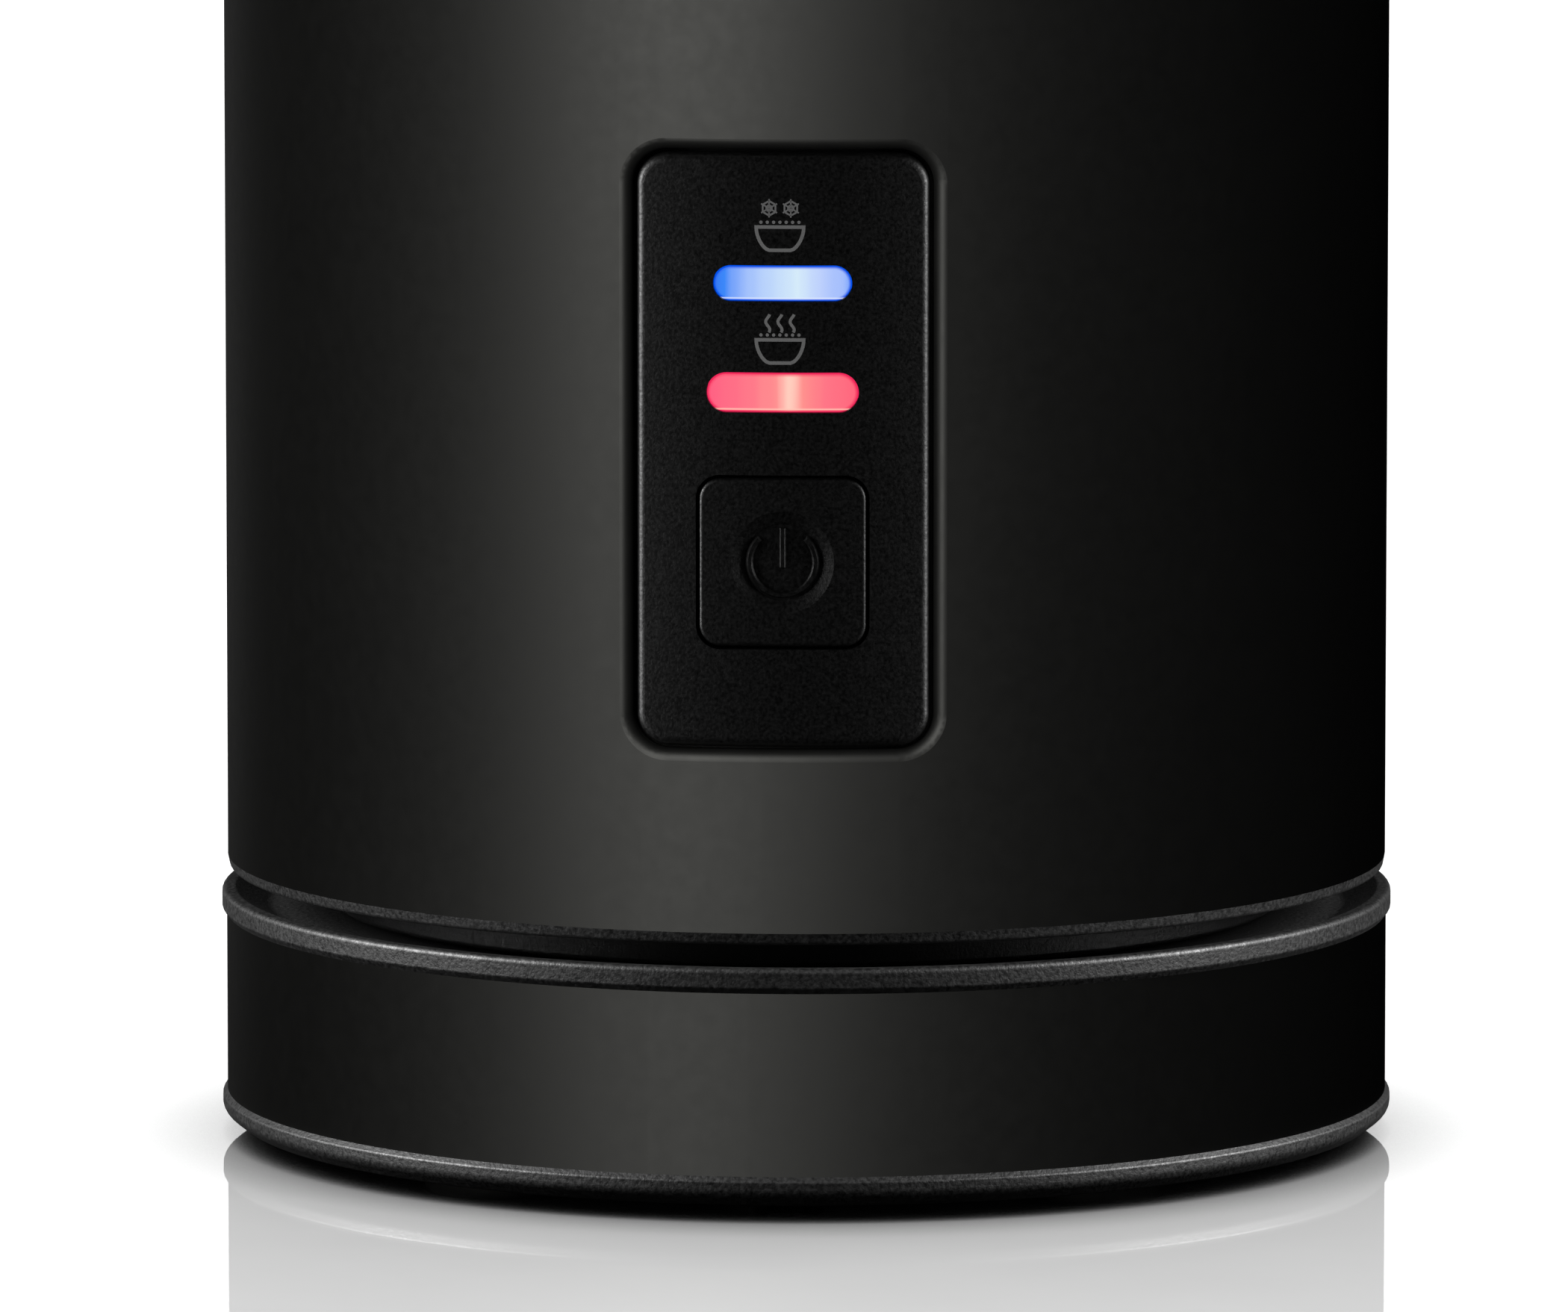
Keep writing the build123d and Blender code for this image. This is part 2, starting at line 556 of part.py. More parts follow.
def panel_bezel():
    slab = rounded_front(
        front_prism(RectangleRounded(SLAB_W, SLAB_H, SLAB_CORNER), PANEL_Z, SLAB_BACK), SLAB_R, SLAB_EDGE)
    flange = front_prism(RectangleRounded(FLANGE_W, FLANGE_H, FLANGE_CORNER), PANEL_Z, 0) & tube(
        FLANGE_R, FLANGE_IN_R, 0, 2 * PANEL_Z)
    pocket = front_prism(Rectangle(POCKET_W, POCKET_H), PANEL_Z, 0, SLAB_BACK)
    button_hole = front_prism(
        RectangleRounded(BUTTON_W + 2 * BUTTON_GAP, BUTTON_H + 2 * BUTTON_GAP, BUTTON_CORNER + BUTTON_GAP),
        BUTTON_Z, 0)
    body = slab + flange - pocket - button_hole
    body = body - front_prism(light_outline(BLUE_W, BLUE_H, LIGHT_GAP), BLUE_Z, 0)
    body = body - front_prism(light_outline(RED_W, RED_H, LIGHT_GAP), RED_Z, 0)
    for x, z in stake_places():
        body = body + front_pin(1.8, x, z, BOARD_FRONT, SLAB_BACK)
        body = body + front_pin(1.0, x, z, -43.2, BOARD_FRONT)
    return body


def panel_gasket():
    room = 0.3
    outline = RectangleRounded(FLANGE_W, FLANGE_H, FLANGE_CORNER) - RectangleRounded(
        SLAB_W + 2 * room, SLAB_H + 2 * room, SLAB_CORNER + room)
    return front_prism(outline, PANEL_Z, 0) & tube(ROLLED_IN_R - 0.05, FLANGE_R + 0.05, 0, 2 * PANEL_Z)


def light_outline(width, height, gap=0.0):
    return SlotOverall(width + 2 * gap, height + 2 * gap)


def light_window(width, height, centre_z):
    """Light pipe with round ends, held from behind by its flange."""
    face = rounded_front(front_prism(light_outline(width, height), centre_z, PIPE_BACK), LIGHT_R, 0.2)
    return face + front_prism(light_outline(width, height, 0.8), centre_z, PIPE_BACK, SLAB_BACK)


def power_button():
    """Button with a finger dish, a raised power mark and a flange that keeps it in."""
    floor_r = SLAB_R - DISH_DEPTH
    cap = rounded_front(
        front_prism(RectangleRounded(BUTTON_W, BUTTON_H, BUTTON_CORNER), BUTTON_Z, CAP_BACK), SLAB_R, 0.35)
    cap = cap - (front_pin(DISH_FLOOR_R, 0, BUTTON_Z, 0, -FAR) - disc(floor_r, 0, 2 * PANEL_Z))
    front = cap.faces().sort_by(Axis.Y)[0]
    rim = front.inner_wires()[0].edges()
    cap = chamfer(rim, DISH_R - DISH_FLOOR_R, 0.9 * DISH_DEPTH, reference=front)
    flange = front_prism(RectangleRounded(15.6, 15.8, 2.2), BUTTON_Z, CAP_BACK, SLAB_BACK + 0.1)
    hollow = front_prism(Rectangle(10.5, 10.5), BUTTON_Z, CAP_BACK, -48.0)
    boss = front_pin(2.2, 0, BUTTON_Z, BOSS_BACK, -48.2)
    return cap + flange - hollow + boss + power_mark()


def power_mark():
    """Ring open at the top with a bar in the opening, raised from the dish with sloped sides."""
    reach = 2 * MARK_R
    opening = Polyline((0, 0), Vector(0, reach).rotate(Axis.Z, MARK_OPEN),
                       Vector(0, reach).rotate(Axis.Z, -MARK_OPEN), close=True)
    ring = Circle(MARK_R + MARK_LINE / 2) - Circle(MARK_R - MARK_LINE / 2) - make_face(opening)
    bar = Pos(0, (MARK_BAR_LOW + MARK_BAR_HIGH) / 2) * RectangleRounded(
        MARK_LINE, MARK_BAR_HIGH - MARK_BAR_LOW, 0.2)
    plane = Plane(origin=(0, DISH_DEPTH + MARK_SUNK - SLAB_R, BUTTON_Z), x_dir=(1, 0, 0), z_dir=(0, -1, 0))
    return extrude(plane * (ring + bar), MARK_RISE + MARK_SUNK, taper=MARK_SLOPE)


def switch_plunger():
    return front_pin(1.6, 0, BUTTON_Z, BOARD_FRONT - BUTTON_TRAVEL - 0.65, BOSS_BACK)


# ---------------------------------------------------------------- whisk

def whisk_bush():
    """Sleeve that drops over the cup's pin, closed at the top."""
    bore_r = POST_PIN_R + RUNNING_GAP
    return turned(
        (bore_r, BUSH_LOW, 0.3), (BUSH_FLANGE_R, BUSH_LOW, 0.3), (BUSH_FLANGE_R, BUSH_LOW + 1.0),
        (BUSH_R, BUSH_LOW + 1.0), (BUSH_R, HUB_TOP + 0.1), (BUSH_FLANGE_R, HUB_TOP + 0.1),
        (BUSH_FLANGE_R, BUSH_TOP, 0.6), (0, BUSH_TOP), (0, 86.0), (bore_r, 86.0))


def whisk_frame():
    """Magnet carrier, hub, spokes and the ring that the coil is threaded on."""
    bore_r = BUSH_R + RUNNING_GAP
    body = turned(
        (bore_r, HUB_LOW), (CARRIER_R, HUB_LOW, 0.8), (CARRIER_R, CARRIER_TOP, 1.2),
        (HUB_R + 1, CARRIER_TOP, 1.5),
        (HUB_R, 84.0, 1.0), (HUB_R, HUB_TOP, 0.5), (bore_r, HUB_TOP))
    body = cut_at(body, disc(MAGNET_R, CARRIER_TOP - MAGNET_H, CARRIER_TOP), MAGNET_PLACES)
    spoke_long = COIL_RING_R - HUB_R + 0.6
    spoke = Pos(HUB_R - 0.6 + spoke_long / 2, 0, COIL_Z) * Box(spoke_long, 2.0, 1.8)
    return added(body, spoke, around(SPOKES, 0)) + Pos(0, 0, COIL_Z) * Torus(COIL_RING_R, CORE_R)


def whisk_magnets():
    return group(disc(MAGNET_R, CARRIER_TOP - MAGNET_H, CARRIER_TOP), MAGNET_PLACES)


def whisk_coil():
    """Envelope of the wire coil: a thin-walled ring with a slit for each spoke."""
    centre = Pos(0, 0, COIL_Z)
    body = centre * Torus(COIL_RING_R, COIL_R) - centre * Torus(COIL_RING_R, COIL_R - COIL_WALL)
    slit = Pos(COIL_RING_R / 2, 0, COIL_Z) * Box(COIL_RING_R, 2.4, 2.2)
    return cut_at(body, slit, around(SPOKES, 0))


# ---------------------------------------------------------------- lid

def lid_body():
    return turned(
        (33.0, 165.0, 0.3), (38.5, 164.4, 0.6), (38.5, 150.0, 0.5), (40.5, 150.0, 0.5), (40.5, LID_LOW),
        (49.8, LID_LOW, 0.4), (49.8, 163.8, 1.8), (37.2, 168.3, 1.5), (35.1, 168.3, 0.3), (35.1, WINDOW_Z),
        (33.0, WINDOW_Z))


def lid_window():
    dome = Pos(0, 0, 169.6 - 400.0) * Sphere(400.0)
    return (disc(35.0, WINDOW_Z, 170.0) & dome) - disc(3.1, WINDOW_Z, 170.0)


def lid_seal():
    """Sleeve on the lid's spigot with two wiping fins."""
    fin_r = CUP_R - 0.3
    return turned(
        (40.5, 151.5), (41.0, 151.5), (41.0, 152.2), (fin_r, 153.0, 0.2), (41.0, 153.8), (41.0, 155.2),
        (fin_r, 156.0, 0.2), (41.0, 156.8), (41.0, 157.6), (40.5, 157.6))


def lid_knob():
    body = turned(
        (0, WINDOW_Z), (3.0, WINDOW_Z), (3.0, 169.8), (6.2, 169.8, 0.4), (5.4, 173.0, 2.0),
        (10.0, 176.6, 0.8), (10.0, 179.0, 1.2), (0, KNOB_TOP))
    return body - disc(PILOT_R, WINDOW_Z, WINDOW_Z + 10.0)


def knob_screw():
    return Pos(0, 0, WINDOW_Z) * screw(4.0, 1.4, PILOT_R, 8.0)


# ---------------------------------------------------------------- write each node

NODES = {
    "base_bottom": base_bottom(),
    "base_band": base_band(),
    "base_top": base_top(),
    "base_connector": base_connector(),
    "centre_contact": centre_contact(),
    "ring_contact": ring_contact(),
    "slot_shutter": slot_shutter(),
    "rubber_feet": rubber_feet(),
    "base_screws": base_screws(),
    "inner_screws": inner_screws(),
    "cord_gland": cord_gland(),
    "cord_clamp": cord_clamp(),
    "outer_shell": outer_shell(),
    "jug_bottom_cover": jug_bottom_cover(),
    "cover_screws": cover_screws(),
    "rim_collar": rim_collar(),
    "cup_seal": cup_seal(),
    "inner_cup": inner_cup(),
    "jug_connector": jug_connector(),
    "centre_pin": centre_pin(),
    "ring_blade": ring_blade(),
    "heater_plate": heater_plate(),
    "heater_element": heater_element(),
    "thermostat": thermostat(),
    "thermal_fuse": thermal_fuse(),
    "motor_can": motor_can(),
    "motor_end_cap": motor_end_cap(),
    "field_magnets": field_magnets(),
    "motor_bearings": motor_bearings(),
    "motor_bracket": motor_bracket(),
    "motor_screws": motor_screws(),
    "bracket_screws": bracket_screws(),
    "motor_shaft": motor_shaft(),
    "armature": armature(),
    "drive_disc": drive_disc(),
    "drive_magnets": drive_magnets(),
    "power_board": power_board(),
    "board_screws": board_screws(),
    "relay": relay(),
    "capacitors": capacitors(),
    "control_board": control_board(),
    "led_blue": led(BLUE_Z),
    "led_red": led(RED_Z),
    "tact_switch": tact_switch(),
    "panel_bezel": panel_bezel(),
    "panel_gasket": panel_gasket(),
    "light_window_blue": light_window(BLUE_W, BLUE_H, BLUE_Z),
    "light_window_red": light_window(RED_W, RED_H, RED_Z),
    "power_button": power_button(),
    "switch_plunger": switch_plunger(),
    "whisk_bush": whisk_bush(),
    "whisk_frame": whisk_frame(),
    "whisk_magnets": whisk_magnets(),
    "whisk_coil": whisk_coil(),
    "lid_body": lid_body(),
    "lid_window": lid_window(),
    "lid_seal": lid_seal(),
    "lid_knob": lid_knob(),
    "knob_screw": knob_screw(),
}

for name, shape in NODES.items():
    export_step(shape, f"parts/{name}.step")
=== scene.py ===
import json
import math

import bmesh
import bpy
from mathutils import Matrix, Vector


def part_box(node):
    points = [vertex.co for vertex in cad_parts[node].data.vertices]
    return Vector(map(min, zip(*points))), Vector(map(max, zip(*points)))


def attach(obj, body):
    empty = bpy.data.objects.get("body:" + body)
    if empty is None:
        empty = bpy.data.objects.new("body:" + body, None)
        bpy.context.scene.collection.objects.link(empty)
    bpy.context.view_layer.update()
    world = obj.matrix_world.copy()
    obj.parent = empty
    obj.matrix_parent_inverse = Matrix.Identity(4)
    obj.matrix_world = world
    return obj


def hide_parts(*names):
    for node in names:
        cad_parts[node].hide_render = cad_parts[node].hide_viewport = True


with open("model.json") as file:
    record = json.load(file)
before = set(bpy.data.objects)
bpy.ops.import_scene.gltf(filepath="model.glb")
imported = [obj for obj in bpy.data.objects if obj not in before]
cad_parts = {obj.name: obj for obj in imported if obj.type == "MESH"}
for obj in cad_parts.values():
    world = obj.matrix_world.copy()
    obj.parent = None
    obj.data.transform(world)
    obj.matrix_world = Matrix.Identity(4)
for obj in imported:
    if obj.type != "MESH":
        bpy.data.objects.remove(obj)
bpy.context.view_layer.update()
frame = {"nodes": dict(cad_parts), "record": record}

# A milk frother on a glossy white table. Metres, in the CAD model's own frame: the control
# panel faces -Y. Places come from the CAD nodes' boxes, and small art is drawn in millimetres.

MM = 0.001
NODES = frame["nodes"]
SLOT_OF = {part["node"]: part["material_slot"] for part in frame["record"]["subparts"]}

# ---------------------------------------------------------------- camera

CAMERA_AWAY = 1.305          # level distance from the frother's axis
CAMERA_HIGH = 0.2123
CAMERA_ROUND = 2.3           # degrees round the object, towards +X
CAMERA_DOWN = 7.47           # degrees below level
CAMERA_LEFT = 0.085          # degrees that it looks left of the axis
CAMERA_LENS = 350.0
SENSOR_WIDE = 36.0
CLIP = (0.01, 50.0)


def make_camera():
    data = bpy.data.cameras.new("camera")
    data.lens = CAMERA_LENS
    data.sensor_width = SENSOR_WIDE
    data.clip_start, data.clip_end = CLIP
    camera = bpy.data.objects.new("camera", data)
    bpy.context.scene.collection.objects.link(camera)
    turn = math.radians(CAMERA_ROUND)
    camera.location = (CAMERA_AWAY * math.sin(turn), -CAMERA_AWAY * math.cos(turn), CAMERA_HIGH)
    camera.rotation_euler = (math.radians(90 - CAMERA_DOWN), 0, turn + math.radians(CAMERA_LEFT))
    bpy.context.scene.camera = camera


# ---------------------------------------------------------------- stage and light

# Angles are in degrees from the camera's direction. Distances are from the frother's axis.
KEY_SIDE, KEY_AWAY, KEY_HIGH = -24.0, 0.85, 0.46
KEY_SIZE, KEY_POWER, KEY_COLOUR = (0.56, 1.1), 12.5, (1.0, 1.0, 0.94)
SIDE_TURN, SIDE_AWAY, SIDE_HIGH, SIDE_DOWN = 84.0, 0.8, 0.42, 24.0
SIDE_SIZE = (0.5, 0.3)
LEFT_POWER, RIGHT_POWER = 20.0, 18.0
EDGE_TURN, EDGE_HIGH, EDGE_SIZE, EDGE_POWER = 150.0, 0.3, (0.3, 0.8), 0.14
TABLE_HIGH, TABLE_SIZE, TABLE_POWER = 3.0, (6.0, 6.0), 140.0
PANEL_TURN, PANEL_SIZE, PANEL_POWER = 112.0, (0.25, 0.4), 7.5
PANEL_HIGH, PANEL_SHARE = 0.14, 0.6              # share of the side lamps' power
WORLD_GLOSSY = 0.004         # how bright the white world looks in glossy surfaces
FLOOR_HALF = 6
RING_R, RING_HIGH, RING_GLOW = 2.5, 1.6, 1.3     # white ring round the table
GROUP_OF_SLOT = {"textured_plastic": "textured", "panel_plastic": "panel"}      # the rest are smooth
METALS = ("contact_brass", "screw_steel", "heater_aluminium", "element_steel", "motor_steel", "magnet_iron",
          "whisk_steel")


def softbox(name, side, away, height, size, power):
    """Rectangular lamp at an angle from the camera's direction, facing the frother's axis."""
    data = bpy.data.lights.new(name, "AREA")
    data.shape = "RECTANGLE"
    data.size, data.size_y = size
    data.energy = power
    lamp = bpy.data.objects.new(name, data)
    bpy.context.scene.collection.objects.link(lamp)
    turn = math.radians(CAMERA_ROUND + side)
    lamp.location = (away * math.sin(turn), -away * math.cos(turn), height)
    lamp.rotation_euler = (math.radians(90), 0, turn)
    return lamp


def lights_only(lamp, collection):
    lamp.light_linking.receiver_collection = collection


def make_lights():
    """Key lamp for the paint, side lamps for the grained mouldings, and others for the panel."""
    groups = {name: bpy.data.collections.new(name) for name in ("smooth", "textured", "panel", "white_room")}
    for node, obj in NODES.items():
        groups[GROUP_OF_SLOT.get(SLOT_OF[node], "smooth")].objects.link(obj)
        if SLOT_OF[node] in METALS:
            groups["white_room"].objects.link(obj)
    key = softbox("key", KEY_SIDE, KEY_AWAY, KEY_HIGH, KEY_SIZE, KEY_POWER)
    key.data.color = KEY_COLOUR
    lights_only(key, groups["smooth"])
    for name, sign, power in (("left", -1, LEFT_POWER), ("right", 1, RIGHT_POWER)):
        side = softbox("side_" + name, sign * SIDE_TURN, SIDE_AWAY, SIDE_HIGH, SIDE_SIZE, power)
        side.rotation_euler.x = math.radians(90 - SIDE_DOWN)
        lights_only(side, groups["textured"])
        front = softbox("panel_front_" + name, sign * SIDE_TURN, SIDE_AWAY, PANEL_HIGH, SIDE_SIZE,
                        PANEL_SHARE * power)
        lights_only(front, groups["panel"])
        edge = softbox("panel_edge_" + name, sign * PANEL_TURN, SIDE_AWAY, PANEL_HIGH, PANEL_SIZE,
                       PANEL_POWER)
        lights_only(edge, groups["panel"])
    edge_left = softbox("edge_left", -EDGE_TURN, SIDE_AWAY, EDGE_HIGH, EDGE_SIZE, EDGE_POWER)
    lights_only(edge_left, groups["smooth"])


def make_world():
    """White to the camera and to matt surfaces, dark in glossy ones, as in a black studio."""
    world = bpy.data.worlds.new("world")
    bpy.context.scene.world = world
    world.use_nodes = True
    world.cycles.sampling_method = "NONE"
    nodes, links = world.node_tree.nodes, world.node_tree.links
    path = nodes.new("ShaderNodeLightPath")
    dark = nodes["Background"]
    dark.inputs["Color"].default_value = (1, 1, 1, 1)
    dark.inputs["Strength"].default_value = WORLD_GLOSSY
    white = nodes.new("ShaderNodeBackground")
    white.inputs["Strength"].default_value = 1.0
    mix = nodes.new("ShaderNodeMixShader")
    links.new(path.outputs["Is Glossy Ray"], mix.inputs["Fac"])
    links.new(white.outputs["Background"], mix.inputs[1])
    links.new(dark.outputs["Background"], mix.inputs[2])
    links.new(mix.outputs["Shader"], nodes["World Output"].inputs["Surface"])


def mesh_object(name, bm, smooth=True):
    mesh = bpy.data.meshes.new(name)
    bm.normal_update()
    bm.to_mesh(mesh)
    bm.free()
    for face in mesh.polygons:
        face.use_smooth = smooth
    obj = bpy.data.objects.new(name, mesh)
    bpy.context.scene.collection.objects.link(obj)
    return obj


def make_stage():
    """Table, and the white ring and lamp that light it and the bare metals."""
    floor_bm = bmesh.new()
    bmesh.ops.create_grid(floor_bm, x_segments=8, y_segments=8, size=FLOOR_HALF)
    floor = mesh_object("floor", floor_bm, False)
    floor.data.materials.append(table_gloss())
    floor.visible_glossy = False
    wall_bm = bmesh.new()
    bmesh.ops.create_cone(wall_bm, cap_ends=False, segments=96, radius1=RING_R, radius2=RING_R,
                          depth=RING_HIGH)
    bmesh.ops.translate(wall_bm, verts=wall_bm.verts, vec=(0, 0, RING_HIGH / 2))
    wall = mesh_object("backdrop", wall_bm)
    wall.data.materials.append(backdrop_white())
    wall.visible_diffuse = False
    wall.visible_camera = False
    white_room = bpy.data.collections["white_room"]
    white_room.objects.link(floor)
    lights_only(wall, white_room)
    lamp = softbox("table_lamp", 0, 0, TABLE_HIGH, TABLE_SIZE, TABLE_POWER)
    lamp.rotation_euler = (0, 0, 0)
    lights_only(lamp, white_room)


# ---------------------------------------------------------------- material tools

def new_material(name):
    mat = bpy.data.materials.new(name)
    mat.use_nodes = True
    return mat, mat.node_tree.nodes, mat.node_tree.links, mat.node_tree.nodes["Principled BSDF"]


def place_of(nodes):
    return nodes.new("ShaderNodeTexCoord").outputs["Object"]


def noise(nodes, links, place, per_metre, detail=3.0, rough=0.55, stretch=(1, 1, 1)):
    """Noise whose lumps are about 1 / per_metre across."""
    mapping = nodes.new("ShaderNodeMapping")
    mapping.inputs["Scale"].default_value = stretch
    links.new(place, mapping.inputs["Vector"])
    texture = nodes.new("ShaderNodeTexNoise")
    texture.inputs["Scale"].default_value = per_metre
    texture.inputs["Detail"].default_value = detail
    texture.inputs["Roughness"].default_value = rough
    links.new(mapping.outputs["Vector"], texture.inputs["Vector"])
    return texture.outputs["Fac"]


def between(first, second):
    """Stops that spread two values over the part of its range that a noise fills."""
    return [(0.3, first), (0.7, second)]


def ramp(nodes, links, value, stops):
    """Colours or greys along a value. A stop is (position, colour or grey)."""
    node = nodes.new("ShaderNodeValToRGB")
    elements = node.color_ramp.elements
    while len(elements) < len(stops):
        elements.new(0.5)
    for element, (position, colour) in zip(elements, stops):
        element.position = position
        grey = isinstance(colour, (int, float))
        element.color = (colour, colour, colour, 1) if grey else (*colour, 1)
    links.new(value, node.inputs["Fac"])
    return node.outputs["Color"]


def bump(nodes, links, shader, height, depth, strength=1.0):
    node = nodes.new("ShaderNodeBump")
    node.inputs["Strength"].default_value = strength
    node.inputs["Distance"].default_value = depth
    links.new(height, node.inputs["Height"])
    links.new(node.outputs["Normal"], shader.inputs["Normal"])


def surface(name, colours, roughness, grain, depth, metallic=0.0, specular=0.5, detail=3.0,
            stretch=(1, 1, 1), blotch=60.0):
    """A plain material: two colours mixed in soft blotches, rough and bumped by a fine grain."""
    mat, nodes, links, shader = new_material(name)
    place = place_of(nodes)
    fine = noise(nodes, links, place, grain, detail, stretch=stretch)
    wide = noise(nodes, links, place, blotch, 4.0)
    base = ramp(nodes, links, wide, between(*colours))
    rough = ramp(nodes, links, fine, between(*roughness))
    links.new(base, shader.inputs["Base Color"])
    links.new(rough, shader.inputs["Roughness"])
    shader.inputs["Metallic"].default_value = metallic
    shader.inputs["Specular IOR Level"].default_value = specular
    bump(nodes, links, shader, fine, depth)
    return mat


# ---------------------------------------------------------------- materials

CONTACT_SHADOW_REACH = 0.012        # how far from the base the painted contact shadow darkens the table
CONTACT_SHADOW_STOPS = [(0.0, 0.03), (0.15, 0.10), (0.9, 1.0)]


def table_gloss():
    """White gloss laminate, with a painted contact shadow that darkens it near what stands on it."""
    mat = surface("table_gloss", (0.84, 0.86), (0.015, 0.03), 180.0, 0.000002)
    nodes, links = mat.node_tree.nodes, mat.node_tree.links
    shader = nodes["Principled BSDF"]
    # Painted contact shadow: ambient occlusion multiplies the table's colour darker near what stands on it.
    contact_shadow = nodes.new("ShaderNodeAmbientOcclusion")
    contact_shadow.samples = 8
    contact_shadow.inputs["Distance"].default_value = CONTACT_SHADOW_REACH
    shade = nodes.new("ShaderNodeMix")
    shade.data_type = "RGBA"
    shade.blend_type = "MULTIPLY"
    shade.inputs["Factor"].default_value = 1.0
    links.new(shader.inputs["Base Color"].links[0].from_socket, shade.inputs["A"])
    links.new(ramp(nodes, links, contact_shadow.outputs["AO"], CONTACT_SHADOW_STOPS), shade.inputs["B"])
    links.new(shade.outputs["Result"], shader.inputs["Base Color"])
    return mat


def backdrop_white():
    mat = bpy.data.materials.new("backdrop_white")
    mat.use_nodes = True
    nodes, links = mat.node_tree.nodes, mat.node_tree.links
    nodes.clear()
    glow = nodes.new("ShaderNodeEmission")
    glow.inputs["Strength"].default_value = RING_GLOW
    out = nodes.new("ShaderNodeOutputMaterial")
    links.new(glow.outputs["Emission"], out.inputs["Surface"])
    return mat


def black_paint():
    """Satin lacquer on steel: nearly black, with a faint orange peel."""
    return surface("black_paint", (0.0012, 0.0016), (0.52, 0.56), 700.0, 0.000004)


def grained_plastic(name, per_metre, greys, roughness, depth, specular):
    """Spark-eroded black moulding. The grain's tops are lighter and smoother than its pits."""
    mat, nodes, links, shader = new_material(name)
    place = place_of(nodes)
    grain = noise(nodes, links, place, per_metre, 2.5, 0.6)
    worn = noise(nodes, links, place, per_metre / 30, 4.0)
    tone = nodes.new("ShaderNodeMix")
    tone.data_type = "RGBA"
    tone.blend_type = "MULTIPLY"
    tone.inputs["Factor"].default_value = 1.0
    links.new(ramp(nodes, links, grain, between(*greys)), tone.inputs["A"])
    links.new(ramp(nodes, links, worn, between(0.8, 1.0)), tone.inputs["B"])
    links.new(tone.outputs["Result"], shader.inputs["Base Color"])
    rough = ramp(nodes, links, grain, between(*roughness))
    links.new(rough, shader.inputs["Roughness"])
    shader.inputs["Specular IOR Level"].default_value = specular
    bump(nodes, links, shader, grain, depth, 0.7)
    return mat


FLANGE_STEP = 0.8 * MM       # the window's hidden flange stands this far out round its face
BLUE_STOPS = [(0.0, (0.01, 0.17, 0.86)), (0.08, (0.02, 0.22, 0.90)), (0.19, (0.26, 0.43, 0.92)),
              (0.36, (0.44, 0.60, 0.93)), (0.60, (0.66, 0.82, 0.92)), (0.76, (0.50, 0.62, 0.95)),
              (0.93, (0.36, 0.50, 0.95)), (1.0, (0.20, 0.38, 0.95))]
# The second colour of the blue and of the red pair is a painted highlight, a bright line along the window's
# lower edge.
BLUE_EDGE, BLUE_PAINTED_HIGHLIGHT = (0.0, 0.08, 0.80), (0.85, 0.93, 1.0)
RED_STOPS = [(0.0, (1.0, 0.09, 0.20)), (0.3, (1.0, 0.17, 0.23)), (0.46, (1.0, 0.27, 0.27)),
             (0.55, (1.0, 0.60, 0.50)), (0.64, (1.0, 0.27, 0.26)), (0.8, (1.0, 0.17, 0.23)),
             (1.0, (1.0, 0.13, 0.20))]
RED_EDGE, RED_PAINTED_HIGHLIGHT = (0.85, 0.02, 0.10), (1.0, 0.62, 0.50)
RIBS_PER_METRE, RIB_SHARE = 900.0, 0.10
EDGE_STOPS = [(0.0, 0.0), (0.80, 0.0), (0.97, 1.0)]
HIGHLIGHT_STOPS = [(0.0, 0.0), (0.22, 0.0), (0.36, 0.85), (0.55, 0.0)]
HIGHLIGHT_LOW, HIGHLIGHT_HIGH = -1.0, -0.6     # where the painted highlight's stops run, -1 at the window's lower edge
PIPE_TINT = 0.02                     # the unlit window's colour, as a share of its edge colour


